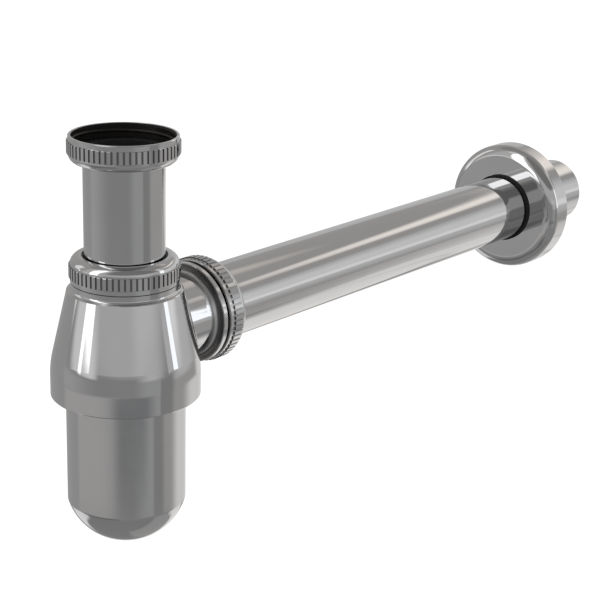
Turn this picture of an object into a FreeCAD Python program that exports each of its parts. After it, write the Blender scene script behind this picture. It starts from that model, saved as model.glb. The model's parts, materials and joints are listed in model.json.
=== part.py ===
import FreeCAD, Part
import math
import os

# Chromed brass bottle trap for a wash basin, drawn as it hangs under the basin.
# Millimetres, +Z up. The origin is on the inlet tube's axis, at the washer's sealing face,
# where the tail of the basin's waste comes to rest inside the inlet nut.
# The inlet tube runs down the Z axis and the outlet pipe runs along +Y to the wall.

# Running clearances between pieces
turning_gap = 0.3        # between curved faces that turn or slide past each other
face_gap = 0.1           # between the head nut's mouth and the neck ring
seal_fit = 0.05          # rubber on the outside of a tube

# Tubes: one size for the inlet tube and the outlet pipe
tube_radius = 16.0
tube_wall = 1.0
tube_end_break = 0.25    # small bevel on a cut tube end

# Knurled union nut, one pattern used three times.
# Its height is measured from the open mouth towards the back.
nut_length = 10.7
nut_hole_gap = 1.0       # the back's hole around the tube
nut_back_wall = 1.2
nut_seat_width = 1.9     # flat seat round the hole, inside the back
nut_skin = 1.3           # wall outside the thread
nut_shoulder = 3.5       # radius of the polished shoulder
nut_mouth_bevel = 0.3
nut_lip_bevel = 0.3
nut_relief = 0.3         # radius added behind the thread
knurl_start = 2.1
knurl_length = 5.0
knurl_height = 0.55
knurl_bevel = 0.15
knurl_count = 60
groove_width = 0.85
groove_floor = 0.1       # groove floor above the plain nut
inlet_nut_rest = 2.4     # degrees that a tightened nut's grooves have turned from straight
head_nut_rest = -2.4
outlet_nut_rest = 0.0

# Compression joint inside a nut: conical seal, slip ring and threaded boss
boss_reach = 7.0         # how far the boss stands into the nut
boss_rim = 0.8           # metal left at the boss's end
boss_bevel = 0.5
socket_gap = 0.5         # tube in its socket
seat_depth = 5.8
seat_angle = 20.0
seal_tip = 0.5           # rubber thickness at the narrow end
slip_ring_thickness = 1.5
thread_room = 0.8        # from the root of the outside thread to the nut's bore

# Inlet
washer_thickness = 2.5
tube_flange_thickness = 1.0
tube_flange_bend = 0.8
inlet_drop = 52.7        # from the washer's face to the head nut's mouth

# Head: one casting with its neck, cone, skirt and branch
neck_ring_height = 1.9
neck_ring_inset = 0.1    # neck ring's radius under the nut's
neck_fillet = 1.2
head_ledge = 1.6         # top face outside the neck ring
head_edge = 0.3
cone_foot = 13.0         # from the skirt's bottom up to where cone and skirt would meet
cone_sweep = 40.0        # radius between the cone and the skirt
head_top_wall = 2.9
head_wall = 2.5
skirt_wall = 3.75
skirt_edge = 0.5
skirt_overhang = 0.7     # skirt below the cup's thread

# Branch that takes the outlet pipe
branch_drop = 1.85       # top of the branch under the head's top face
branch_wall = 2.0
branch_mouth = 39.0      # from the trap's axis to the outlet nut's mouth
collar_length = 2.4      # plain collar in front of the outlet nut
collar_gap = 1.3         # from the collar to the nut's mouth
collar_inset = 0.45      # collar's radius under the nut's
collar_edge = 0.3
collar_fillet = 0.5      # where the branch runs out into the collar
pipe_stop = 3.0          # from the outlet nut's mouth back to the pipe's stop
branch_fillet = 1.5      # where the branch grows out of the cone

# Cup
cup_radius = 24.0
cup_wall = 1.2
cup_thread_stand = 1.6   # thread's root outside the cup
cup_thread_room = 0.7
cup_thread_length = 6.0
cup_seat_wall = 1.25     # metal under the branch's bore
cup_seal_thickness = 2.0
cup_seal_inset = 0.4
cup_dome_extra = 1.0     # dome's radius over the cup's
cup_knuckle = 2.5
water_seal = 54.75       # depth of the tube's end below the outlet's floor
cup_below_tube = 18.5    # from the tube's end to the underside of the cup

# Outlet pipe and wall flange
wall_distance = 281.0    # from the trap's axis to the wall
pipe_in_wall = 38.0
pipe_end_play = 1.0      # pipe's end to the stop in the branch
flange_radius = 31.55
flange_depth = 13.0
flange_ease = 9.0        # radius of the easy curve at the flat face's edge
flange_ease_angle = 17.0
flange_round = 4.8       # radius of the tighter curve that follows it
flange_wall = 1.2
flange_hole_gap = 1.0
flange_collar_depth = 5.0
grip_ring_stand = 1.1    # grip ring in front of the flange's face
grip_ring_length = 5.1

# Sizes that follow from the ones above
tube_bore = tube_radius - tube_wall
slip_bore = tube_radius + turning_gap
seal_bore = tube_radius + seal_fit
socket_bore = tube_radius + socket_gap
nut_hole = tube_radius + nut_hole_gap
seat_slope = math.tan(math.radians(seat_angle))
seat_mouth = socket_bore + seat_depth * seat_slope
thread_root = seat_mouth + boss_rim
nut_bore = thread_root + thread_room
nut_side = nut_bore + nut_skin
knurl_radius = nut_side + knurl_height
nut_inner_face = nut_length - nut_back_wall
slip_ring_face = nut_inner_face - slip_ring_thickness
washer_face_depth = nut_inner_face - tube_flange_thickness - washer_thickness
nut_thread_depth = washer_face_depth - turning_gap
nut_seat_radius = nut_hole + nut_seat_width
tube_flange_radius = nut_seat_radius - turning_gap
washer_radius = nut_bore - 2.0 * turning_gap

inlet_mouth_z = washer_face_depth
tube_top = -washer_thickness
head_nut_z = -inlet_drop
neck_ring_top = head_nut_z - face_gap
head_top = neck_ring_top - neck_ring_height - neck_fillet
neck_ring_radius = nut_side - neck_ring_inset
head_top_radius = neck_ring_radius + head_ledge
branch_radius = tube_bore + branch_wall
outlet_z = head_top - branch_drop - branch_radius
collar_radius = nut_side - collar_inset
cup_seat_z = outlet_z - tube_bore - cup_seat_wall
cup_bore = cup_radius - cup_wall
cup_thread_root = cup_radius + cup_thread_stand
skirt_bore = cup_thread_root + cup_thread_room
skirt_radius = skirt_bore + skirt_wall
cup_top = cup_seat_z - cup_seal_thickness
skirt_bottom = cup_top - cup_thread_length - skirt_overhang
cone_height = head_top - skirt_bottom - cone_foot
cone_slope = (skirt_radius - head_top_radius) / cone_height
chamber_radius = cup_bore + 2.0 * seal_fit + cup_seal_inset
dip_end = outlet_z - tube_bore - water_seal
cup_bottom = dip_end - cup_below_tube
pipe_start = branch_mouth - pipe_stop + pipe_end_play
pipe_finish = wall_distance + pipe_in_wall
flange_front = wall_distance - flange_depth
flange_hole = tube_radius + flange_hole_gap

UP = FreeCAD.Vector(0, 0, 1)
DOWN = FreeCAD.Vector(0, 0, -1)
TO_WALL = FreeCAD.Vector(0, 1, 0)
ON_AXIS = FreeCAD.Vector(0, 0, 0)
PAST = 1.0               # how far a cutting shape runs past what it cuts


def point(radius, height):
    """A point of a turned outline."""
    return FreeCAD.Vector(radius, 0, height)


def turned(start, *steps):
    """Solid of revolution about Z. A step is a point, or a pair (through, end) for an arc."""
    edges = []
    here = point(*start)
    for step in steps + (start,):
        if isinstance(step[0], tuple):
            through = point(*step[0])
            end = point(*step[1])
            edges.append(Part.Arc(here, through, end).toShape())
        else:
            end = point(*step)
            edges.append(Part.LineSegment(here, end).toShape())
        here = end
    face = Part.Face(Part.Wire(edges))
    return face.revolve(ON_AXIS, UP, 360)


def ring(inner, outer, low, high):
    """Plain ring about Z."""
    return turned((inner, low), (outer, low), (outer, high), (inner, high))


def rod(radius, low, high):
    """Plain round bar about Z."""
    return Part.makeCylinder(radius, high - low, FreeCAD.Vector(0, 0, low))


def arc_middle(centre, radius, from_angle, to_angle):
    """Point half way along an arc, its angles in degrees from the radial direction."""
    middle = math.radians((from_angle + to_angle) / 2.0)
    return (centre[0] + radius * math.cos(middle), centre[1] + radius * math.sin(middle))


def placed(shape, origin, direction):
    """Copy of a shape drawn about Z, with its Z turned to a direction."""
    copy = shape.copy()
    turn = FreeCAD.Rotation(UP, direction)
    copy.Placement = FreeCAD.Placement(FreeCAD.Vector(*origin), turn)
    return copy


def save(name, shape):
    """Write one piece after checking that it is a single sound solid."""
    shape = shape.removeSplitter()
    assert shape.isValid(), name
    assert len(shape.Solids) == 1, name
    shape.Solids[0].exportStep("parts/" + name + ".step")


def knurl_grooves(rest):
    """Straight grooves round the nut's grip band, turned to where the nut came to rest."""
    groove = Part.makeBox(
        knurl_height + PAST,
        groove_width,
        knurl_length + 2.0 * PAST,
        FreeCAD.Vector(nut_side + groove_floor, -groove_width / 2.0, knurl_start - PAST),
    )
    grooves = []
    for index in range(knurl_count):
        copy = groove.copy()
        copy.rotate(ON_AXIS, UP, rest + 360.0 * index / knurl_count)
        grooves.append(copy)
    return Part.makeCompound(grooves)


def union_nut(rest):
    """Nut with its mouth at height 0 and its rounded back up."""
    shoulder_centre = (nut_side - nut_shoulder, nut_length - nut_shoulder)
    body = turned(
        (0, 0),
        (nut_side - nut_lip_bevel, 0),
        (nut_side, nut_lip_bevel),
        (nut_side, shoulder_centre[1]),
        (arc_middle(shoulder_centre, nut_shoulder, 0, 90), (shoulder_centre[0], nut_length)),
        (0, nut_length),
    )
    knurl_end = knurl_start + knurl_length
    band = turned(
        (nut_bore, knurl_start),
        (knurl_radius - knurl_bevel, knurl_start),
        (knurl_radius, knurl_start + knurl_bevel),
        (knurl_radius, knurl_end - knurl_bevel),
        (knurl_radius - knurl_bevel, knurl_end),
        (nut_bore, knurl_end),
    )
    relief_radius = nut_bore + nut_relief
    hollow = turned(
        (0, -PAST),
        (nut_bore + nut_mouth_bevel + PAST, -PAST),
        (nut_bore, nut_mouth_bevel),
        (nut_bore, nut_thread_depth),
        (relief_radius, nut_thread_depth),
        (relief_radius, nut_inner_face - (relief_radius - nut_seat_radius)),
        (nut_seat_radius, nut_inner_face),
        (nut_hole, nut_inner_face),
        (nut_hole, nut_length + PAST),
        (0, nut_length + PAST),
    )
    return body.fuse(band.cut(knurl_grooves(rest))).cut(hollow)


def slip_ring():
    """Flat plastic ring that lets the nut turn on the seal."""
    return ring(slip_bore, nut_seat_radius - turning_gap, slip_ring_face, nut_inner_face)


def cone_seal():
    """Conical rubber ring, its flat back against the slip ring."""
    lean = turning_gap / math.cos(math.radians(seat_angle))
    back_radius = seat_mouth - lean
    tip_radius = seal_bore + seal_tip
    tip = boss_reach - (back_radius - tip_radius) / seat_slope
    return turned(
        (seal_bore, tip),
        (tip_radius, tip),
        (back_radius, boss_reach),
        (back_radius, slip_ring_face),
        (seal_bore, slip_ring_face),
    )


def threaded_boss(low):
    """Boss that the nut screws on, from a height below its mouth to the boss's end."""
    return turned(
        (0, low),
        (thread_root, low),
        (thread_root, boss_reach - boss_bevel),
        (thread_root - boss_bevel, boss_reach),
        (0, boss_reach),
    )


def seal_seat(socket_floor):
    """Space inside a boss: the seal's cone and the tube's socket down to a floor."""
    return turned(
        (0, socket_floor),
        (socket_bore, socket_floor),
        (socket_bore, boss_reach - seat_depth),
        (seat_mouth, boss_reach),
        (seat_mouth, boss_reach + PAST),
        (0, boss_reach + PAST),
    )


def cone_radius(height):
    """Outside radius of the head's cone at a height."""
    return head_top_radius + (head_top - height) * cone_slope


def head_outside():
    """Neck ring, ledge, cone, swept edge and skirt, as one solid."""
    lean = math.atan(cone_slope)
    corner_z = skirt_bottom + cone_foot
    tangent = cone_sweep * math.tan(lean / 2.0)
    sweep_top = (
        skirt_radius - tangent * math.sin(lean),
        corner_z + tangent * math.cos(lean),
    )
    sweep_end = (skirt_radius, corner_z - tangent)
    sweep_centre = (skirt_radius - cone_sweep, corner_z - tangent)
    edge_drop = head_edge * cone_slope
    fillet_centre = (neck_ring_radius + neck_fillet, head_top + neck_fillet)
    return turned(
        (0, neck_ring_top),
        (neck_ring_radius, neck_ring_top),
        (neck_ring_radius, fillet_centre[1]),
        (arc_middle(fillet_centre, neck_fillet, 180, 270), (fillet_centre[0], head_top)),
        (head_top_radius - head_edge, head_top),
        (head_top_radius + edge_drop, head_top - head_edge),
        sweep_top,
        (arc_middle(sweep_centre, cone_sweep, 0, math.degrees(lean)), sweep_end),
        (skirt_radius, skirt_bottom + skirt_edge),
        (skirt_radius - skirt_edge, skirt_bottom),
        (0, skirt_bottom),
    )


def head_chamber():
    """Water space round the inlet tube, and the threaded recess for the cup."""
    ceiling = head_top - head_top_wall
    ceiling_radius = cone_radius(ceiling) - head_wall
    widest = ceiling - (chamber_radius - ceiling_radius) / cone_slope
    return turned(
        (0, ceiling),
        (ceiling_radius, ceiling),
        (chamber_radius, widest),
        (chamber_radius, cup_seat_z),
        (skirt_bore, cup_seat_z),
        (skirt_bore, skirt_bottom + skirt_edge),
        (skirt_bore + skirt_edge + PAST, skirt_bottom - PAST),
        (0, skirt_bottom - PAST),
    )


def branch_outside():
    """Branch and its collar, drawn from the trap's axis to the collar's end."""
    collar_end = branch_mouth - collar_gap
    collar_start = collar_end - collar_length
    fillet_centre = (branch_radius + collar_fillet, collar_start - collar_fillet)
    return turned(
        (0, chamber_radius / 2.0),
        (branch_radius, chamber_radius / 2.0),
        (branch_radius, fillet_centre[1]),
        (arc_middle(fillet_centre, collar_fillet, 180, 90), (fillet_centre[0], collar_start)),
        (collar_radius - collar_edge, collar_start),
        (collar_radius, collar_start + collar_edge),
        (collar_radius, collar_end - collar_edge),
        (collar_radius - collar_edge, collar_end),
        (0, collar_end),
    )


def branch_root(head):
    """Edges along which the branch meets the cone and the skirt."""
    root = []
    for edge in head.Edges:
        middle = edge.valueAt((edge.FirstParameter + edge.LastParameter) / 2.0)
        off_axis = math.hypot(middle.x, middle.z - outlet_z)
        on_head = math.hypot(middle.x, middle.y) < skirt_radius + seal_fit
        if abs(off_axis - branch_radius) < seal_fit and on_head:
            root.append(edge)
    return root


def trap_head():
    """One casting: neck, cone, skirt and branch."""
    neck = placed(threaded_boss(-neck_ring_height), (0, 0, head_nut_z), UP)
    branch = placed(branch_outside(), (0, 0, outlet_z), TO_WALL)
    branch_boss = placed(threaded_boss(-collar_gap), (0, branch_mouth, outlet_z), TO_WALL)
    branch_bore = placed(rod(tube_bore, chamber_radius / 2.0, branch_mouth), (0, 0, outlet_z), TO_WALL)
    neck_floor = head_top - head_top_wall - PAST - head_nut_z
    neck_seat = placed(seal_seat(neck_floor), (0, 0, head_nut_z), UP)
    branch_seat = placed(seal_seat(-pipe_stop), (0, branch_mouth, outlet_z), TO_WALL)
    head = head_outside().fuse(branch).removeSplitter()
    head = head.makeFillet(branch_fillet, branch_root(head))
    solid = head.fuse([neck, branch_boss])
    return solid.cut([head_chamber(), branch_bore, neck_seat, branch_seat])


def tube(low, high):
    """Thin tube about Z with broken ends."""
    return turned(
        (tube_bore, low + tube_end_break),
        (tube_bore + tube_end_break, low),
        (tube_radius - tube_end_break, low),
        (tube_radius, low + tube_end_break),
        (tube_radius, high - tube_end_break),
        (tube_radius - tube_end_break, high),
        (tube_bore + tube_end_break, high),
        (tube_bore, high - tube_end_break),
    )


def inlet_tube():
    """Tube with a turned-out top flange, its lower end standing in the cup's water."""
    under = tube_top - tube_flange_thickness
    bend = (tube_radius + tube_flange_bend, under - tube_flange_bend)
    inner_bend = tube_flange_bend + tube_wall / 2.0
    inner = (tube_bore + inner_bend, tube_top - inner_bend)
    return turned(
        (tube_bore, dip_end),
        (tube_radius, dip_end),
        (tube_radius, bend[1]),
        (arc_middle(bend, tube_flange_bend, 180, 90), (bend[0], under)),
        (tube_flange_radius, under),
        (tube_flange_radius, tube_top),
        (inner[0], tube_top),
        (arc_middle(inner, inner_bend, 90, 180), (tube_bore, inner[1])),
    )


def inlet_washer():
    """Flat rubber washer on the tube's flange."""
    return ring(tube_bore, washer_radius, tube_top, 0.0)


def cup_outline(radius, knuckle, dome, bottom, top):
    """Round-bottomed solid: straight side, tight knuckle and spherical dome."""
    dome_z = bottom + dome
    across = radius - knuckle
    reach = math.sqrt((dome - knuckle) ** 2 - across ** 2)
    knuckle_centre = (across, dome_z - reach)
    angle = -math.degrees(math.atan2(reach, across))
    meet = (
        dome * math.cos(math.radians(angle)),
        dome_z + dome * math.sin(math.radians(angle)),
    )
    return turned(
        (0, bottom),
        (arc_middle((0, dome_z), dome, -90, angle), meet),
        (arc_middle(knuckle_centre, knuckle, angle, 0), (radius, knuckle_centre[1])),
        (radius, top),
        (0, top),
    )


def cup():
    """Screw-in cup with its thread's root, an open top and a domed bottom."""
    dome = cup_radius + cup_dome_extra
    outside = cup_outline(cup_radius, cup_knuckle, dome, cup_bottom, cup_top)
    thread_end = cup_top - cup_thread_length
    thread = turned(
        (0, thread_end),
        (cup_radius, thread_end),
        (cup_thread_root, thread_end + cup_thread_stand),
        (cup_thread_root, cup_top),
        (0, cup_top),
    )
    hollow = cup_outline(
        cup_bore,
        cup_knuckle - cup_wall,
        dome - cup_wall,
        cup_bottom + cup_wall,
        cup_top + PAST,
    )
    return outside.fuse(thread).cut(hollow)


def cup_seal():
    """Flat rubber ring between the cup's rim and the seat in the head."""
    return ring(chamber_radius + seal_fit, skirt_bore - cup_seal_inset, cup_top, cup_seat_z)


def outlet_pipe():
    """Straight pipe from the branch through the flange into the wall."""
    return tube(pipe_start, pipe_finish)


def flange_rim(inside):
    """Arcs of the flange's rim: from the flat face out to the straight side, moved in by a wall."""
    turn = 90.0 - flange_ease_angle
    lean = math.radians(flange_ease_angle)
    flat = flange_radius - flange_ease * math.sin(lean) - flange_round * (1.0 - math.sin(lean))
    ease_centre = (flat, flange_ease)
    ease = flange_ease - inside
    step = flange_ease - flange_round
    rim_centre = (flat + step * math.sin(lean), flange_ease - step * math.cos(lean))
    rim = flange_round - inside
    meet = (flat + ease * math.sin(lean), flange_ease - ease * math.cos(lean))
    return (
        (flat, inside),
        (arc_middle(ease_centre, ease, -90, -turn), meet),
        (arc_middle(rim_centre, rim, -turn, 0), (rim_centre[0] + rim, rim_centre[1])),
    )


def wall_flange():
    """Pressed cover plate: flat front, rounded rim, open back and a short inner collar."""
    outer = flange_rim(0.0)
    inner = flange_rim(flange_wall)
    collar = flange_hole + flange_wall
    plate = turned(
        (0, 0),
        *outer,
        (flange_radius, flange_depth),
        (0, flange_depth),
    )
    hollow = turned(
        (0, flange_wall),
        *inner,
        (flange_radius - flange_wall, flange_depth + PAST),
        (0, flange_depth + PAST),
    )
    hub = rod(collar, 0.0, flange_collar_depth)
    hole = rod(flange_hole, -PAST, flange_depth + PAST)
    return plate.cut(hollow).fuse(hub).cut(hole)


def grip_ring():
    """Black rubber ring that holds the flange on the pipe."""
    return ring(
        seal_bore,
        flange_hole - seal_fit,
        -grip_ring_stand,
        grip_ring_length - grip_ring_stand,
    )


def build():
    """Write every piece in its place."""
    os.makedirs("parts", exist_ok=True)
    neck_place = (0, 0, head_nut_z)
    branch_place = (0, branch_mouth, outlet_z)
    flange_place = (0, flange_front, outlet_z)
    save("inlet_nut", placed(union_nut(inlet_nut_rest), (0, 0, inlet_mouth_z), DOWN))
    save("inlet_washer", inlet_washer())
    save("inlet_tube", inlet_tube())
    save("head_nut", placed(union_nut(head_nut_rest), neck_place, UP))
    save("head_slip_ring", placed(slip_ring(), neck_place, UP))
    save("head_seal", placed(cone_seal(), neck_place, UP))
    save("trap_head", trap_head())
    save("cup_seal", cup_seal())
    save("cup", cup())
    save("outlet_nut", placed(union_nut(outlet_nut_rest), branch_place, TO_WALL))
    save("outlet_slip_ring", placed(slip_ring(), branch_place, TO_WALL))
    save("outlet_seal", placed(cone_seal(), branch_place, TO_WALL))
    save("outlet_pipe", placed(outlet_pipe(), (0, 0, outlet_z), TO_WALL))
    save("wall_flange", placed(wall_flange(), flange_place, TO_WALL))
    save("flange_grip_ring", placed(grip_ring(), flange_place, TO_WALL))


build()
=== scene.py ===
import bmesh
import bpy
import json
import math
from mathutils import Euler, Matrix, Vector


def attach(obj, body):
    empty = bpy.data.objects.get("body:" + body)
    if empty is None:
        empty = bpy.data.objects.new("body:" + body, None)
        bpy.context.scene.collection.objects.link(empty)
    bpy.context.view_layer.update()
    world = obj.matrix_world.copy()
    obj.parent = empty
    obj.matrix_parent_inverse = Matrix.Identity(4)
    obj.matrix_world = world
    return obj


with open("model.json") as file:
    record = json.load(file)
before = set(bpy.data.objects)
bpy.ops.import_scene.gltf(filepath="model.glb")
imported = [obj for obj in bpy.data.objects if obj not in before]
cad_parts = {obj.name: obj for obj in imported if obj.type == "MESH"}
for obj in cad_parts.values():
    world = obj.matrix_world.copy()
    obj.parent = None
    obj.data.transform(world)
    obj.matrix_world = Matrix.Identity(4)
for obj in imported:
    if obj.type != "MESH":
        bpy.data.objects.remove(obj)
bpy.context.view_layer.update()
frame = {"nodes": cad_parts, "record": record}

# Camera, at the photograph's place and angle. Lengths are metres and angles are degrees,
# but the lens and the sensor are in millimetres.
CAMERA_PLACE = (0.460398, -0.450222, 0.152669)
CAMERA_YAW = 39.491
CAMERA_PITCH = 18.305
CAMERA_TWIST = 1.444
CAMERA_LENS = 102.594
CAMERA_SENSOR = 36.0
CAMERA_NEAR_LIMIT = 0.01

# Studio
FLOOR_LEVEL = -2.15
FLOOR_SIZE = 60.0
FLOOR_PAINT = (0.9, 0.9, 0.9)
FLOOR_GLOW = 0.6
SOFT_LIGHT = (0.55, 0.55, 0.55)
BACKGROUND = (1.0, 1.0, 1.0)
TENT_RADIUS = 2.0
TENT_CENTRE = (0.0, 0.1, -0.06)
TENT_SEGMENTS = 64
TENT_RINGS = 32
# Each lamp: name, place, width and height, power in watts
LAMPS = (
    ("lamp_right", (1.6, -0.3, 1.0), (0.8, 1.6), 22.0),
    ("lamp_left", (-1.2, -1.6, 1.2), (0.8, 1.6), 18.0),
)

# Object sizes that the threads and the finishes need, as the model has them
TUBE_BORE = 0.015
OUTLET_LEVEL = -0.07475
INLET_NUT_MOUTH = (0.0, 0.0, 0.0060)
HEAD_NUT_MOUTH = (0.0, 0.0, -0.0527)
OUTLET_NUT_MOUTH = (0.0, 0.0390, OUTLET_LEVEL)
NUT_BORE = 0.020211
NUT_RELIEF = 0.020511
NUT_INNER_FACE = 0.0095
MOUTH_FACE_END = 0.0213
GROOVE_FLOOR = 0.02161
KNURL_START = 0.0021
KNURL_END = 0.0071
BOSS_ROOT = 0.019411
BRANCH_RADIUS = 0.017
COLLAR_FACE = 0.0353
COLLAR_FACE_END = 0.0207
CUP_THREAD_ROOT = 0.0256
SKIRT_BORE = 0.0263
CUP_TOP = -0.093

# Threads: right-handed, in step with the joints
UNION_PITCH = 0.002309
BOSS_CREST = 0.0199
NUT_CREST = 0.01972
CUP_PITCH = 0.0015
CUP_CREST = 0.02606
SKIRT_CREST = 0.02596
THREAD_STEPS = 72
# Each thread starts and ends at these distances from its mouth or rim
NUT_THREAD = (0.0011, 0.0050)
NECK_THREAD = (0.0008, 0.0058)
BRANCH_THREAD = (-0.0004, 0.0058)
CUP_THREAD = (0.0006, 0.0039)
SKIRT_THREAD = (0.0006, 0.0056)
# Half widths of a ridge, as shares of its pitch, and the share of its height left at its ends
RIDGE_FOOT = 0.30
RIDGE_TIP = 0.10
RIDGE_END = 0.04
# Turns over which a ridge thins out
RUN_OUT = 0.25
# Phase of a thread, in turns: an inner ridge lies half a pitch on, in the outer one's groove
OUTER_PHASE = 0.0
INNER_PHASE = 0.5

# Flare of the branch before its collar: a gentle rise, then a tight corner. The satin is the
# stretch before the collar's face that isn't polished. Where the flare has risen by the shade,
# it takes the dark colour of that face, which is painted shade. The skin sinks a little into
# the branch and the face, and the root lies inside both.
FLARE_LENGTH = 0.0030
FLARE_SLOPE = 6.0
FLARE_CORNER = 0.0022
FLARE_ROOT = 0.0004
FLARE_SATIN = 0.0032
FLARE_SHADE = 0.0008
FLARE_STEPS = 8
FLARE_SECTIONS = 180
SKIN_DEPTH = 0.000004

# Colours of the chrome, and of the metal where the polish doesn't reach, painted dark as shade
CHROME = (0.62, 0.62, 0.626)
SHADED_RAW_METAL = (0.055, 0.053, 0.05)
# Painted shade: in the nuts' grooves, lighter in the outlet nut's open grooves, on the ribs' ends and
# on the collar's face
GROOVE_SHADE = (0.21, 0.21, 0.215)
OPEN_GROOVE_SHADE = (0.42, 0.42, 0.425)
RIB_END_SHADE = (0.02, 0.02, 0.02)
COLLAR_FACE_SHADE = (0.16, 0.158, 0.156)
MOUTH_FACE_METAL = (0.62, 0.60, 0.58)
RUBBER_DARK = (0.005, 0.005, 0.0055)
RUBBER_PALE = (0.014, 0.014, 0.0145)
NYLON_DARK = (0.016, 0.016, 0.017)
NYLON_PALE = (0.028, 0.028, 0.03)

# Finishes of the metal: roughness, and how much the haze adds to it
POLISHED = (0.02, 0.03)
PIPE_FINISH = (0.02, 0.02)
TUBE_FINISH = (0.06, 0.04)
CUP_FINISH = (0.10, 0.05)
THREAD_FINISH = (0.4, 0.1)
DULL_ROUGHNESS = 0.32
RAW_ROUGHNESS = 0.45
HAZE_SCALE = 55.0
HAZE_TINT = 0.975
SCRATCH_SCALE = (1500.0, 1900.0, 260.0)
SCRATCH_ROUGHNESS = 0.03
DRAWN_SCALE_ACROSS = 230.0
DRAWN_SCALE_ALONG = 3.0
DRAWN_DEPTH = 0.00004

# Grain of the rubber and of the nylon
RUBBER_GRAIN_SCALE = 900.0
RUBBER_GRAIN_DEPTH = 0.0001
NYLON_GRAIN_SCALE = 220.0

# Masks of the finishes: how far each reaches past its edge, and how soft that edge is.
# The lip is the bright metal between a nut's mouth and its thread, which is painted dark as shade.
SOFT_EDGE = 0.00004
BORE_REACH = 0.0004
THREAD_LIP = 0.0001
THREAD_FACE_REACH = 0.00002
THREAD_FACE_EDGE = 0.00001
THREAD_BORE_REACH = 0.00003
THREAD_BORE_EDGE = 0.00002
GROOVE_REACH = 0.0002
GROOVE_EDGE = 0.00012
RIB_END_BEFORE = 0.0001
RIB_END_AFTER = 0.00025
RIB_END_FOOT = 0.0001
MOUTH_BEFORE = 0.0002
MOUTH_AFTER = 0.0004
MOUTH_EDGE = 0.0001
SATIN_EDGE = 0.0008
SHADE_EDGE = 0.0003
COLLAR_REACH = 0.0002
COLLAR_EDGE = 0.0001
# Farther than any point of the object, for a mask with one limit
FAR = 1.0

# Angle between two faces, in degrees, over which their edge looks sharp
SHARP_ANGLE = 35.0

# Directions of the object's axes
UP = (0.0, 0.0, 1.0)
DOWN = (0.0, 0.0, -1.0)
TO_WALL = (0.0, 1.0, 0.0)


def new_material(name):
    """Empty node material and its tree, with an output."""
    material = bpy.data.materials.new(name)
    material.use_nodes = True
    tree = material.node_tree
    tree.nodes.clear()
    output = tree.nodes.new("ShaderNodeOutputMaterial")
    return material, tree, output


def add(tree, kind, **values):
    """Add a node and set its properties, or its sockets by name."""
    node = tree.nodes.new(kind)
    for key, value in values.items():
        if hasattr(node, key):
            setattr(node, key, value)
        else:
            node.inputs[key.replace("_", " ")].default_value = value
    return node


def link(tree, source, target):
    tree.links.new(source, target)


def maths(tree, operation, first, second=None):
    """Math node on sockets or plain numbers; returns its output."""
    node = tree.nodes.new("ShaderNodeMath")
    node.operation = operation
    for index, value in enumerate((first, second)):
        if value is None:
            continue
        if isinstance(value, (int, float)):
            node.inputs[index].default_value = value
        else:
            tree.links.new(value, node.inputs[index])
    return node.outputs[0]


def smooth_step(tree, value, start, end, low=0.0, high=1.0):
    """Smooth change from low to high while a value goes from start to end."""
    node = tree.nodes.new("ShaderNodeMapRange")
    node.interpolation_type = "SMOOTHSTEP"
    node.inputs["From Min"].default_value = start
    node.inputs["From Max"].default_value = end
    node.inputs["To Min"].default_value = low
    node.inputs["To Max"].default_value = high
    tree.links.new(value, node.inputs["Value"])
    return node.outputs["Result"]


def mix_number(tree, mask, outside, inside):
    """A number, or socket, that changes to another where a mask is 1."""
    node = add(tree, "ShaderNodeMix", data_type="FLOAT")
    link(tree, mask, node.inputs["Factor"])
    for socket, value in ((node.inputs["A"], outside), (node.inputs["B"], inside)):
        if isinstance(value, (int, float)):
            socket.default_value = value
        else:
            link(tree, value, socket)
    return node.outputs["Result"]


def mix_colour(tree, mask, outside, inside):
    """A colour, or socket, that changes to another where a mask is 1."""
    node = add(tree, "ShaderNodeMix", data_type="RGBA")
    link(tree, mask, node.inputs["Factor"])
    for socket, value in ((node.inputs["A"], outside), (node.inputs["B"], inside)):
        if isinstance(value, tuple):
            socket.default_value = (*value, 1.0)
        else:
            link(tree, value, socket)
    return node.outputs["Result"]


def build_camera():
    """Camera that frames the object as the photograph does."""
    data = bpy.data.cameras.new("camera")
    data.lens = CAMERA_LENS
    data.sensor_width = CAMERA_SENSOR
    data.clip_start = CAMERA_NEAR_LIMIT
    camera = bpy.data.objects.new("camera", data)
    bpy.context.scene.collection.objects.link(camera)
    aim = Euler((math.radians(90.0 - CAMERA_PITCH), 0.0, math.radians(CAMERA_YAW)))
    twist = Matrix.Rotation(math.radians(CAMERA_TWIST), 4, "Z")
    camera.matrix_world = Matrix.Translation(CAMERA_PLACE) @ aim.to_matrix().to_4x4() @ twist
    bpy.context.scene.camera = camera


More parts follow.
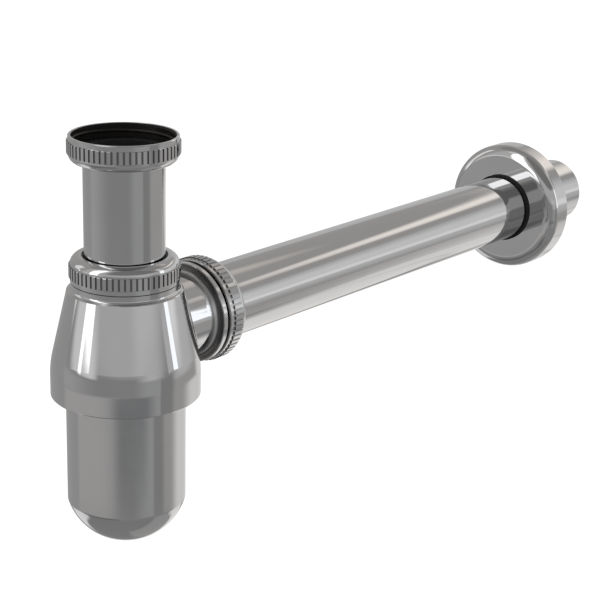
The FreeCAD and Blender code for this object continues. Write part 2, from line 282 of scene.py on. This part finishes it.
# Light of the studio tent that the chrome mirrors. Directions are from the tent's centre:
# azimuth 0 is towards the wall, 90 is to the left, -90 to the right; height is over the horizon.
# Each panel: (from azimuth, to azimuth, side softness, from height, to height, end softness,
# tilt, grey, warmth). A tilted panel's height changes by the tilt for each degree of azimuth.
TENT_BASE = (0.43, 0.42, 0.41)
TENT_PANELS = (
    # upper half: side and back walls, then the top
    (-182.0, -62.0, 8.0, 2.0, 26.0, 2.5, 0.0, 0.54, 0.0),
    (-122.0, -80.0, 12.0, 0.5, 11.0, 3.0, 0.0, 0.65, 0.0),
    (-175.0, -62.0, 10.0, 26.0, 100.0, 3.0, 0.0, 0.23, 0.02),
    (-62.0, 120.0, 10.0, 50.0, 100.0, 4.0, 0.0, 0.31, 0.02),
    # lower half, then its walls on the left and right
    (-200.0, 200.0, 1.0, -95.0, 1.0, 2.5, 0.0, 0.305, 0.0),
    (-116.0, -78.0, 12.0, -30.0, 2.0, 3.0, 0.0, 0.40, -0.005),
    (-112.0, -84.0, 13.0, -3.5, 3.0, 2.0, 0.0, 0.60, 0.0),
    (90.0, 160.0, 32.0, -20.0, -5.0, 3.0, 0.0, 0.445, 0.012),
    (100.0, 205.0, 32.0, -27.5, -19.5, 1.5, 0.0, 0.475, 0.02),
    (46.0, 123.0, 4.0, -30.0, 5.0, 5.0, 0.0, 0.39, 0.012),
    (137.0, 205.0, 5.0, -52.0, -28.0, 1.5, 0.0, 0.30, 0.015),
    (134.0, 205.0, 5.0, -52.0, -37.0, 1.5, 0.0, 0.18, 0.015),
    (-154.0, -98.0, 12.0, -26.0, -20.5, 1.5, 0.0, 0.24, -0.01),
    (-84.0, -61.0, 1.2, -30.0, -5.0, 3.0, 0.0, 0.285, 0.015),
    (-61.0, -2.0, 6.0, -30.0, -5.0, 2.0, 0.0, 0.42, 0.022),
    (72.0, 124.0, 6.0, -60.0, -35.0, 6.0, 0.0, 0.90, 0.006),
    (-200.0, 200.0, 1.0, -95.0, -50.5, 1.5, 0.0, 0.27, 0.005),
    (-62.0, 40.0, 8.0, -95.0, -50.5, 1.5, 0.0, 0.38, 0.015),
    # behind the object, brighter towards the horizon
    (-58.0, 46.0, 10.0, -10.0, 20.5, 3.0, 0.0, 0.60, 0.0),
    (-58.0, 22.0, 8.0, -2.0, 15.0, 5.0, 0.0, 0.80, 0.0),
    (-58.0, -26.0, 2.0, -3.0, 2.5, 1.5, 0.0, 0.97, 0.0),
    # warm panels over the wall side, the first of them slanting
    (-32.0, 12.0, 14.0, 27.3, 34.3, 2.5, -0.17, 1.12, 0.07),
    (2.0, 28.0, 8.0, 42.0, 49.0, 2.0, 0.0, 0.64, 0.07),
    # left softbox: halo, box, foot, and the slip of light beside it
    (134.0, 180.0, 6.0, -2.5, 60.0, 2.0, 0.0, 0.58, 0.02),
    (130.0, 178.0, 8.0, -3.0, 3.5, 1.5, 0.0, 0.82, 0.0),
    (138.0, 174.0, 5.0, 40.0, 68.0, 3.0, 0.0, 0.90, 0.0),
    (150.2, 168.8, 1.2, 1.0, 62.0, 1.2, 0.0, 2.10, 0.0),
    (150.0, 155.5, 1.0, -3.0, 2.0, 1.0, 0.0, 2.10, 0.0),
    (103.0, 120.5, 2.5, 2.0, 35.0, 3.0, 0.0, 1.00, 0.015),
    (119.5, 124.5, 1.0, -3.0, 5.0, 1.5, 0.0, 1.30, 0.0),
    # right softbox, a little cooler
    (-70.0, -59.0, 2.0, -3.0, 2.5, 1.0, 0.0, 0.60, 0.0),
    (-59.2, -47.2, 0.4, -2.8, 9.0, 0.8, 0.0, 1.60, -0.03),
    (-59.2, -46.0, 0.6, 9.0, 21.0, 0.8, 0.0, 1.60, -0.03),
    (-55.0, -46.4, 0.8, 21.0, 46.0, 2.0, 0.0, 0.90, -0.03),
)
# Thin cream gauze in the tent, through which the white floor and background show.
# Each window: the same seven numbers, then the share of the light that it lets through.
GAUZE = (1.0, 0.975, 0.945)
TENT_WINDOWS = (
    (-30.0, 56.0, 8.0, -49.0, -36.0, 1.5, 0.0, 0.73),
    (-30.0, 12.0, 8.0, -37.0, -29.5, 1.5, 0.0, 0.73),
    (36.0, 56.0, 4.0, -37.0, -29.5, 1.5, 0.0, 0.66),
    (-30.0, 50.0, 14.0, -30.5, -19.0, 2.0, 0.0, 0.58),
    (-2.0, 50.0, 8.0, -22.0, -12.0, 2.5, 0.0, 0.61),
)


def panel_mask(tree, azimuth, height, panel):
    """Soft-edged patch of directions, from 0 outside to 1 inside. Angles are in degrees."""
    left, right, side, low, high, end, tilt = panel[:7]
    middle = (left + right) / 2.0
    half = (right - left) / 2.0
    turn = maths(tree, "SUBTRACT", azimuth, middle)
    nearness = maths(tree, "COSINE", maths(tree, "RADIANS", turn))
    away = maths(tree, "DEGREES", maths(tree, "ARCCOSINE", nearness))
    if tilt:
        height = maths(tree, "SUBTRACT", height, maths(tree, "MULTIPLY", turn, tilt))
    across = smooth_step(tree, away, half - side, half + side, 1.0, 0.0)
    over_low = smooth_step(tree, height, low - end, low + end)
    over_high = smooth_step(tree, height, high - end, high + end, 1.0, 0.0)
    return maths(tree, "MULTIPLY", across, maths(tree, "MULTIPLY", over_low, over_high))


def tent_colour(tree, azimuth, height):
    """Grey of every panel, each laid over the ones before it."""
    colour = None
    for panel in TENT_PANELS:
        grey, warmth = panel[7:]
        mix = add(tree, "ShaderNodeMix", data_type="RGBA")
        mix.inputs["A"].default_value = (*TENT_BASE, 1.0)
        mix.inputs["B"].default_value = (grey * (1 + warmth), grey, grey * (1 - warmth), 1.0)
        link(tree, panel_mask(tree, azimuth, height, panel), mix.inputs["Factor"])
        if colour is not None:
            link(tree, colour, mix.inputs["A"])
        colour = mix.outputs["Result"]
    return colour


def tent_clearness(tree, azimuth, height):
    """How much of the background shows through the tent."""
    clear = None
    for window in TENT_WINDOWS:
        let_through = window[7]
        mask = panel_mask(tree, azimuth, height, window)
        share = maths(tree, "MULTIPLY", mask, let_through)
        clear = share if clear is None else maths(tree, "MAXIMUM", clear, share)
    return clear


def tent_material():
    """Light of the studio tent, drawn by direction from its centre."""
    material, tree, output = new_material("studio_tent")
    place = add(tree, "ShaderNodeTexCoord")
    aim = add(tree, "ShaderNodeVectorMath", operation="NORMALIZE")
    link(tree, place.outputs["Object"], aim.inputs[0])
    parts = add(tree, "ShaderNodeSeparateXYZ")
    link(tree, aim.outputs[0], parts.inputs[0])
    to_left = maths(tree, "MULTIPLY", parts.outputs["X"], -1.0)
    azimuth = maths(tree, "DEGREES", maths(tree, "ARCTAN2", to_left, parts.outputs["Y"]))
    height = maths(tree, "DEGREES", maths(tree, "ARCSINE", parts.outputs["Z"]))
    glow = add(tree, "ShaderNodeEmission")
    link(tree, tent_colour(tree, azimuth, height), glow.inputs["Color"])
    gauze = add(tree, "ShaderNodeBsdfTransparent", Color=(*GAUZE, 1.0))
    both = add(tree, "ShaderNodeMixShader")
    link(tree, tent_clearness(tree, azimuth, height), both.inputs["Fac"])
    link(tree, glow.outputs[0], both.inputs[1])
    link(tree, gauze.outputs[0], both.inputs[2])
    link(tree, both.outputs[0], output.inputs["Surface"])
    return material


def build_tent():
    """Round studio tent that only mirrors see."""
    bpy.ops.mesh.primitive_uv_sphere_add(
        segments=TENT_SEGMENTS, ring_count=TENT_RINGS, radius=TENT_RADIUS, location=TENT_CENTRE
    )
    tent = bpy.context.object
    tent.name = "studio_tent"
    tent.data.materials.append(tent_material())
    tent.visible_camera = False
    tent.visible_diffuse = False
    tent.visible_shadow = False
    tent.visible_volume_scatter = False


def seen_directly(tree):
    """1 for what the camera sees itself, in a mirror or through the gauze, and 0 for plain light."""
    rays = add(tree, "ShaderNodeLightPath")
    seen = maths(tree, "MAXIMUM", rays.outputs["Is Camera Ray"], rays.outputs["Is Glossy Ray"])
    return maths(tree, "MAXIMUM", seen, rays.outputs["Is Transmission Ray"])


def build_floor():
    """Pale floor under the object."""
    bpy.ops.mesh.primitive_plane_add(size=FLOOR_SIZE, location=(0.0, 0.0, FLOOR_LEVEL))
    floor = bpy.context.object
    floor.name = "floor"
    material, tree, output = new_material("pale_floor")
    paint = add(tree, "ShaderNodeBsdfDiffuse", Color=(*FLOOR_PAINT, 1.0))
    glow = add(tree, "ShaderNodeEmission")
    link(tree, maths(tree, "MULTIPLY", seen_directly(tree), FLOOR_GLOW), glow.inputs["Strength"])
    both = add(tree, "ShaderNodeAddShader")
    link(tree, paint.outputs[0], both.inputs[0])
    link(tree, glow.outputs[0], both.inputs[1])
    link(tree, both.outputs[0], output.inputs["Surface"])
    floor.data.materials.append(material)


def build_world():
    """White background, and a plain soft light on everything that isn't a mirror."""
    world = bpy.data.worlds.new("studio")
    bpy.context.scene.world = world
    world.use_nodes = True
    tree = world.node_tree
    tree.nodes.clear()
    output = tree.nodes.new("ShaderNodeOutputWorld")
    back = add(tree, "ShaderNodeBackground", Strength=1.0)
    link(tree, mix_colour(tree, seen_directly(tree), SOFT_LIGHT, BACKGROUND), back.inputs["Color"])
    link(tree, back.outputs[0], output.inputs["Surface"])


def build_lamp(name, place, size, power):
    """Soft rectangular lamp aimed at the tent's centre, which mirrors don't show."""
    data = bpy.data.lights.new(name, "AREA")
    data.shape = "RECTANGLE"
    data.size = size[0]
    data.size_y = size[1]
    data.energy = power
    lamp = bpy.data.objects.new(name, data)
    bpy.context.scene.collection.objects.link(lamp)
    lamp.location = place
    towards = Vector(TENT_CENTRE) - Vector(place)
    lamp.rotation_euler = towards.to_track_quat("-Z", "Y").to_euler()
    lamp.visible_glossy = False


def build_studio():
    """Floor, background, tent and lamps."""
    build_floor()
    build_world()
    build_tent()
    for name, place, size, power in LAMPS:
        build_lamp(name, place, size, power)
    bpy.context.scene.view_settings.view_transform = "Standard"


def round_axis(tree, origin, direction):
    """Height along an axis and radius from it, in metres, at the shaded point."""
    place = add(tree, "ShaderNodeTexCoord")
    offset = add(tree, "ShaderNodeVectorMath", operation="SUBTRACT")
    offset.inputs[1].default_value = origin
    link(tree, place.outputs["Object"], offset.inputs[0])
    height = add(tree, "ShaderNodeVectorMath", operation="DOT_PRODUCT")
    height.inputs[1].default_value = direction
    link(tree, offset.outputs["Vector"], height.inputs[0])
    along = add(tree, "ShaderNodeVectorMath", operation="SCALE")
    along.inputs[0].default_value = direction
    link(tree, height.outputs["Value"], along.inputs["Scale"])
    across = add(tree, "ShaderNodeVectorMath", operation="SUBTRACT")
    link(tree, offset.outputs["Vector"], across.inputs[0])
    link(tree, along.outputs["Vector"], across.inputs[1])
    radius = add(tree, "ShaderNodeVectorMath", operation="LENGTH")
    link(tree, across.outputs["Vector"], radius.inputs[0])
    return height.outputs["Value"], radius.outputs["Value"]


def within(tree, value, low, high, soft=SOFT_EDGE):
    """1 where a value lies between two limits, 0 elsewhere, with a soft edge."""
    over_low = smooth_step(tree, value, low - soft, low + soft)
    over_high = smooth_step(tree, value, high - soft, high + soft, 1.0, 0.0)
    return maths(tree, "MULTIPLY", over_low, over_high)


def bore_mask(origin, direction, radius):
    """Mask of all that lies nearer to an axis than a radius, such as the inside of a tube."""
    def build(tree):
        across = round_axis(tree, origin, direction)[1]
        return within(tree, across, -FAR, radius)
    return build


def nut_inside_mask(mouth, direction):
    """Mask of a union nut's threaded inside, unplated metal painted dark as shade."""
    def build(tree):
        height, across = round_axis(tree, mouth, direction)
        end = NUT_INNER_FACE + THREAD_FACE_REACH
        deep = within(tree, height, THREAD_LIP, end, THREAD_FACE_EDGE)
        near = within(tree, across, -FAR, NUT_RELIEF + THREAD_BORE_REACH, THREAD_BORE_EDGE)
        return maths(tree, "MULTIPLY", deep, near)
    return build


def groove_mask(mouth, direction):
    """Mask of the grooves between a union nut's ribs, which are painted darker as shade."""
    def build(tree):
        height, across = round_axis(tree, mouth, direction)
        band = within(tree, height, KNURL_START, KNURL_END)
        low = within(tree, across, -FAR, GROOVE_FLOOR + GROOVE_REACH, GROOVE_EDGE)
        return maths(tree, "MULTIPLY", band, low)
    return build


def rib_end_mask(mouth, direction):
    """Mask of the ends of a union nut's ribs, towards its mouth, which are painted nearly black as
    shade.
    """
    def build(tree):
        height, across = round_axis(tree, mouth, direction)
        band = within(tree, height, KNURL_START - RIB_END_BEFORE, KNURL_START + RIB_END_AFTER)
        high = within(tree, across, GROOVE_FLOOR + RIB_END_FOOT, FAR)
        return maths(tree, "MULTIPLY", band, high)
    return build


def mouth_face_mask(mouth, direction):
    """Mask of the narrow face round a union nut's mouth."""
    def build(tree):
        height, across = round_axis(tree, mouth, direction)
        band = within(tree, height, -MOUTH_BEFORE, MOUTH_AFTER, MOUTH_EDGE)
        face = within(tree, across, NUT_BORE, MOUTH_FACE_END, MOUTH_EDGE)
        return maths(tree, "MULTIPLY", band, face)
    return build


def branch_end_mask():
    """Mask of the flare at the end of the branch, which is only satin-smooth."""
    def build(tree):
        height, across = round_axis(tree, (0.0, COLLAR_FACE, OUTLET_LEVEL), TO_WALL)
        band = within(tree, height, -FLARE_SATIN, 0.0, SATIN_EDGE)
        low = within(tree, across, -FAR, BRANCH_RADIUS + FLARE_SHADE, SHADE_EDGE)
        return maths(tree, "MULTIPLY", band, low)
    return build


def collar_face_mask():
    """Mask of the face of the branch's collar towards the head, which is painted dark as shade."""
    def build(tree):
        height, across = round_axis(tree, (0.0, COLLAR_FACE, OUTLET_LEVEL), TO_WALL)
        face = within(tree, height, -FLARE_CORNER, COLLAR_REACH, COLLAR_EDGE)
        ring = within(tree, across, BRANCH_RADIUS + FLARE_SHADE, COLLAR_FACE_END, SHADE_EDGE)
        return maths(tree, "MULTIPLY", face, ring)
    return build


def chrome(name, tint, finish, drawn=None, dull_and_shade=(), inside=None):
    """Chrome plate with uneven haze and fine wiping scratches.

    finish holds the roughness and what the haze adds to it. drawn is the axis along which a tube
    carries faint drawing lines. dull_and_shade holds pairs of a mask and a colour, for places with a
    duller plate, and for the grooves, ribs' ends and collar's face, whose colour is painted shade.
    inside is the mask of unplated metal, painted dark as shade.
    """
    roughness, wear = finish
    material, tree, output = new_material(name)
    place = add(tree, "ShaderNodeTexCoord").outputs["Object"]
    metal = add(tree, "ShaderNodeBsdfPrincipled", Metallic=1.0)
    haze = add(tree, "ShaderNodeTexNoise", Scale=HAZE_SCALE, Detail=5.0, Roughness=0.6)
    link(tree, place, haze.inputs["Vector"])
    dimmed = tuple(channel * HAZE_TINT for channel in tint)
    colour = mix_colour(tree, smooth_step(tree, haze.outputs["Fac"], 0.35, 0.65), dimmed, tint)
    gloss = smooth_step(tree, haze.outputs["Fac"], 0.3, 0.7, roughness, roughness + wear)
    wipe = add(tree, "ShaderNodeTexNoise", Scale=1.0, Detail=2.0, Roughness=0.7)
    stretch = add(tree, "ShaderNodeVectorMath", operation="MULTIPLY")
    stretch.inputs[1].default_value = SCRATCH_SCALE
    link(tree, place, stretch.inputs[0])
    link(tree, stretch.outputs["Vector"], wipe.inputs["Vector"])
    scratch = smooth_step(tree, wipe.outputs["Fac"], 0.62, 0.72, high=SCRATCH_ROUGHNESS)
    gloss = maths(tree, "ADD", gloss, scratch)
    if drawn:
        lines = add(tree, "ShaderNodeTexNoise", Scale=1.0, Detail=3.0, Roughness=0.55)
        pull = add(tree, "ShaderNodeVectorMath", operation="MULTIPLY")
        change = DRAWN_SCALE_ACROSS - DRAWN_SCALE_ALONG
        pull.inputs[1].default_value = tuple(DRAWN_SCALE_ACROSS - change * part for part in drawn)
        link(tree, place, pull.inputs[0])
        link(tree, pull.outputs["Vector"], lines.inputs["Vector"])
        bump = add(tree, "ShaderNodeBump", Strength=0.3, Distance=DRAWN_DEPTH)
        link(tree, lines.outputs["Fac"], bump.inputs["Height"])
        link(tree, bump.outputs[0], metal.inputs["Normal"])
    # Duller plate; at the grooves, the ribs' ends and the collar's face its colour is painted shade
    for build_mask, dull_and_shade_colour in dull_and_shade:
        mask = build_mask(tree)
        colour = mix_colour(tree, mask, colour, dull_and_shade_colour)
        gloss = mix_number(tree, mask, gloss, DULL_ROUGHNESS)
    # Unplated metal inside, painted dark as shade
    if inside:
        mask = inside(tree)
        colour = mix_colour(tree, mask, colour, SHADED_RAW_METAL)
        gloss = mix_number(tree, mask, gloss, RAW_ROUGHNESS)
    link(tree, colour, metal.inputs["Base Color"])
    link(tree, gloss, metal.inputs["Roughness"])
    link(tree, metal.outputs[0], output.inputs["Surface"])
    return material


def rubber(name):
    """Black moulded rubber with a fine dull grain."""
    material, tree, output = new_material(name)
    place = add(tree, "ShaderNodeTexCoord")
    skin = add(tree, "ShaderNodeBsdfPrincipled", Specular_IOR_Level=0.25)
    grain = add(tree, "ShaderNodeTexNoise", Scale=RUBBER_GRAIN_SCALE, Detail=3.0)
    link(tree, place.outputs["Object"], grain.inputs["Vector"])
    colour = mix_colour(tree, grain.outputs["Fac"], RUBBER_DARK, RUBBER_PALE)
    link(tree, colour, skin.inputs["Base Color"])
    gloss = smooth_step(tree, grain.outputs["Fac"], 0.3, 0.7, low=0.55, high=0.75)
    link(tree, gloss, skin.inputs["Roughness"])
    bump = add(tree, "ShaderNodeBump", Strength=0.25, Distance=RUBBER_GRAIN_DEPTH)
    link(tree, grain.outputs["Fac"], bump.inputs["Height"])
    link(tree, bump.outputs[0], skin.inputs["Normal"])
    link(tree, skin.outputs[0], output.inputs["Surface"])
    return material


def plastic(name):
    """Black moulded nylon with a satin skin."""
    material, tree, output = new_material(name)
    place = add(tree, "ShaderNodeTexCoord")
    skin = add(tree, "ShaderNodeBsdfPrincipled")
    cloud = add(tree, "ShaderNodeTexNoise", Scale=NYLON_GRAIN_SCALE, Detail=4.0)
    link(tree, place.outputs["Object"], cloud.inputs["Vector"])
    colour = mix_colour(tree, cloud.outputs["Fac"], NYLON_DARK, NYLON_PALE)
    link(tree, colour, skin.inputs["Base Color"])
    gloss = smooth_step(tree, cloud.outputs["Fac"], 0.3, 0.7, low=0.35, high=0.5)
    link(tree, gloss, skin.inputs["Roughness"])
    link(tree, skin.outputs[0], output.inputs["Surface"])
    return material


def knurled_chrome(name, mouth, direction, groove_shade=GROOVE_SHADE, shaded_rib_ends_dull_mouth=False):
    """Polished chrome of one union nut; its grooves and its threaded inside are painted dark as
    shade.

    shaded_rib_ends_dull_mouth also paints its ribs' ends nearly black as shade, and gives the face
    round its mouth a duller plate of its own colour.
    """
    dull_and_shade = [(groove_mask(mouth, direction), groove_shade)]
    if shaded_rib_ends_dull_mouth:
        dull_and_shade.append((rib_end_mask(mouth, direction), RIB_END_SHADE))
        dull_and_shade.append((mouth_face_mask(mouth, direction), MOUTH_FACE_METAL))
    inside = nut_inside_mask(mouth, direction)
    return chrome(name, CHROME, POLISHED, dull_and_shade=dull_and_shade, inside=inside)


def paint_nodes():
    """Give every solid its finish."""
    branch_centre = (0.0, 0.0, OUTLET_LEVEL)
    # The tubes' insides, out to this radius, are unplated metal painted dark as shade
    tube_skin = TUBE_BORE + BORE_REACH
    finishes = {
        "polished_chrome": chrome("polished_chrome", CHROME, POLISHED),
        "black_rubber": rubber("black_rubber"),
        "slip_plastic": plastic("slip_plastic"),
        "inlet_nut": knurled_chrome("inlet_nut_chrome", INLET_NUT_MOUTH, DOWN),
        "head_nut": knurled_chrome("head_nut_chrome", HEAD_NUT_MOUTH, UP),
        "outlet_nut": knurled_chrome(
            "outlet_nut_chrome", OUTLET_NUT_MOUTH, TO_WALL,
            groove_shade=OPEN_GROOVE_SHADE, shaded_rib_ends_dull_mouth=True,
        ),
        "trap_head": chrome(
            "head_chrome", CHROME, POLISHED,
            dull_and_shade=[(branch_end_mask(), CHROME), (collar_face_mask(), COLLAR_FACE_SHADE)],
        ),
        "cup": chrome("cup_chrome", CHROME, CUP_FINISH),
        "inlet_tube": chrome(
            "inlet_tube_chrome", CHROME, TUBE_FINISH,
            inside=bore_mask((0.0, 0.0, 0.0), UP, tube_skin),
        ),
        "outlet_pipe": chrome(
            "outlet_pipe_chrome", CHROME, PIPE_FINISH, drawn=TO_WALL,
            inside=bore_mask(branch_centre, TO_WALL, tube_skin),
        ),
    }
    for piece in frame["record"]["subparts"]:
        name = piece["node"]
        node = frame["nodes"][name]
        node.data.materials.clear()
        node.data.materials.append(finishes.get(name) or finishes[piece["material_slot"]])
    return finishes


def swept_piece(name, body, material, sections, ring):
    """Solid skin through a row of sections, closed into a ring or capped at both ends."""
    mesh = bmesh.new()
    rows = [[mesh.verts.new(point) for point in section] for section in sections]
    followers = rows[1:] + rows[:1] if ring else rows[1:]
    for before, after in zip(rows, followers):
        for corner in range(len(before)):
            follow = (corner + 1) % len(before)
            mesh.faces.new((before[corner], before[follow], after[follow], after[corner]))
    if not ring:
        mesh.faces.new(rows[0])
        mesh.faces.new(reversed(rows[-1]))
    bmesh.ops.recalc_face_normals(mesh, faces=mesh.faces)
    data = bpy.data.meshes.new(name)
    mesh.to_mesh(data)
    mesh.free()
    data.materials.append(material)
    for face in data.polygons:
        face.use_smooth = True
    data.set_sharp_from_angle(angle=math.radians(SHARP_ANGLE))
    piece = bpy.data.objects.new(name, data)
    bpy.context.scene.collection.objects.link(piece)
    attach(piece, body)


def round_section(origin, direction, angle, outline):
    """Points of an outline of (radius, height) pairs, turned by an angle about an axis."""
    tilt = Vector(UP).rotation_difference(Vector(direction)).to_matrix()
    section = []
    for radius, height in outline:
        local = Vector((radius * math.cos(angle), radius * math.sin(angle), height))
        section.append(tilt @ local + Vector(origin))
    return section


def thread(name, body, material, axis, ridge, pitch, reach, phase):
    """Helical ridge of one thread, right-handed about its axis, thinning out at both ends.

    axis is a point and a direction, ridge the radii of the ridge's root and crest, and reach the
    distances from the point at which the ridge starts and ends. phase is the share of a turn by
    which it is turned.
    """
    origin, direction = axis
    root, crest = ridge
    start, end = reach
    turns = (end - start) / pitch
    steps = int(turns * THREAD_STEPS)
    foot = pitch * RIDGE_FOOT
    tip = pitch * RIDGE_TIP
    sections = []
    for index in range(steps + 1):
        share = index / steps
        level = start + (end - start) * share
        angle = 2.0 * math.pi * (level / pitch + phase)
        fullness = min(1.0, turns * share / RUN_OUT, turns * (1.0 - share) / RUN_OUT)
        top = root + (crest - root) * (RIDGE_END + (1.0 - RIDGE_END) * fullness)
        outline = ((root, level - foot), (top, level - tip), (top, level + tip), (root, level + foot))
        sections.append(round_section(origin, direction, angle, outline))
    swept_piece(name, body, material, sections, False)


def build_branch_flare(material):
    """Ring that carries the branch out into the face of its collar."""
    slope = math.radians(FLARE_SLOPE)
    rise_radius = FLARE_LENGTH / math.sin(slope)
    foot = BRANCH_RADIUS - SKIN_DEPTH
    corner_height = COLLAR_FACE - FLARE_CORNER
    start = corner_height + FLARE_CORNER * math.sin(slope) - FLARE_LENGTH
    corner_radius = foot + rise_radius * (1.0 - math.cos(slope)) + FLARE_CORNER * math.cos(slope)
    outline = []
    for step in range(FLARE_STEPS):
        angle = slope * step / FLARE_STEPS
        radius = foot + rise_radius * (1.0 - math.cos(angle))
        outline.append((radius, start + rise_radius * math.sin(angle)))
    for step in range(FLARE_STEPS + 1):
        angle = slope + (math.pi / 2.0 - slope) * step / FLARE_STEPS
        radius = corner_radius - FLARE_CORNER * math.cos(angle)
        outline.append((radius, corner_height + FLARE_CORNER * math.sin(angle) + SKIN_DEPTH))
    outline.append((BRANCH_RADIUS - FLARE_ROOT, COLLAR_FACE + FLARE_ROOT))
    sections = []
    for index in range(FLARE_SECTIONS):
        angle = 2.0 * math.pi * index / FLARE_SECTIONS
        sections.append(round_section((0.0, 0.0, OUTLET_LEVEL), TO_WALL, angle, outline))
    swept_piece("branch_flare", "head", material, sections, True)


def build_threads(finishes):
    """The threads of the three union nuts, the head's two bosses, the cup and the skirt."""
    polished = finishes["polished_chrome"]
    # The inner threads are unplated metal, painted dark as shade
    shaded_raw = chrome("shaded_thread_metal", SHADED_RAW_METAL, THREAD_FINISH)
    head_axis = (HEAD_NUT_MOUTH, UP)
    branch_axis = (OUTLET_NUT_MOUTH, TO_WALL)
    cup_axis = ((0.0, 0.0, CUP_TOP), DOWN)
    nut_ridge = (NUT_BORE, NUT_CREST)
    boss_ridge = (BOSS_ROOT, BOSS_CREST)
    cup_ridge = (CUP_THREAD_ROOT, CUP_CREST)
    skirt_ridge = (SKIRT_BORE, SKIRT_CREST)
    nuts = (
        ("inlet_nut", (INLET_NUT_MOUTH, DOWN)),
        ("head_nut", head_axis),
        ("outlet_nut", branch_axis),
    )
    for nut, axis in nuts:
        thread(
            nut + "_thread", nut, shaded_raw, axis, nut_ridge,
            UNION_PITCH, NUT_THREAD, INNER_PHASE,
        )
    thread(
        "neck_thread", "head", polished, head_axis, boss_ridge,
        UNION_PITCH, NECK_THREAD, OUTER_PHASE,
    )
    thread(
        "branch_thread", "head", polished, branch_axis, boss_ridge,
        UNION_PITCH, BRANCH_THREAD, OUTER_PHASE,
    )
    thread(
        "cup_thread", "cup", polished, cup_axis, cup_ridge,
        CUP_PITCH, CUP_THREAD, OUTER_PHASE,
    )
    thread(
        "skirt_thread", "head", shaded_raw, cup_axis, skirt_ridge,
        CUP_PITCH, SKIRT_THREAD, INNER_PHASE,
    )


build_camera()
build_studio()
finishes = paint_nodes()
build_threads(finishes)
build_branch_flare(finishes["trap_head"])
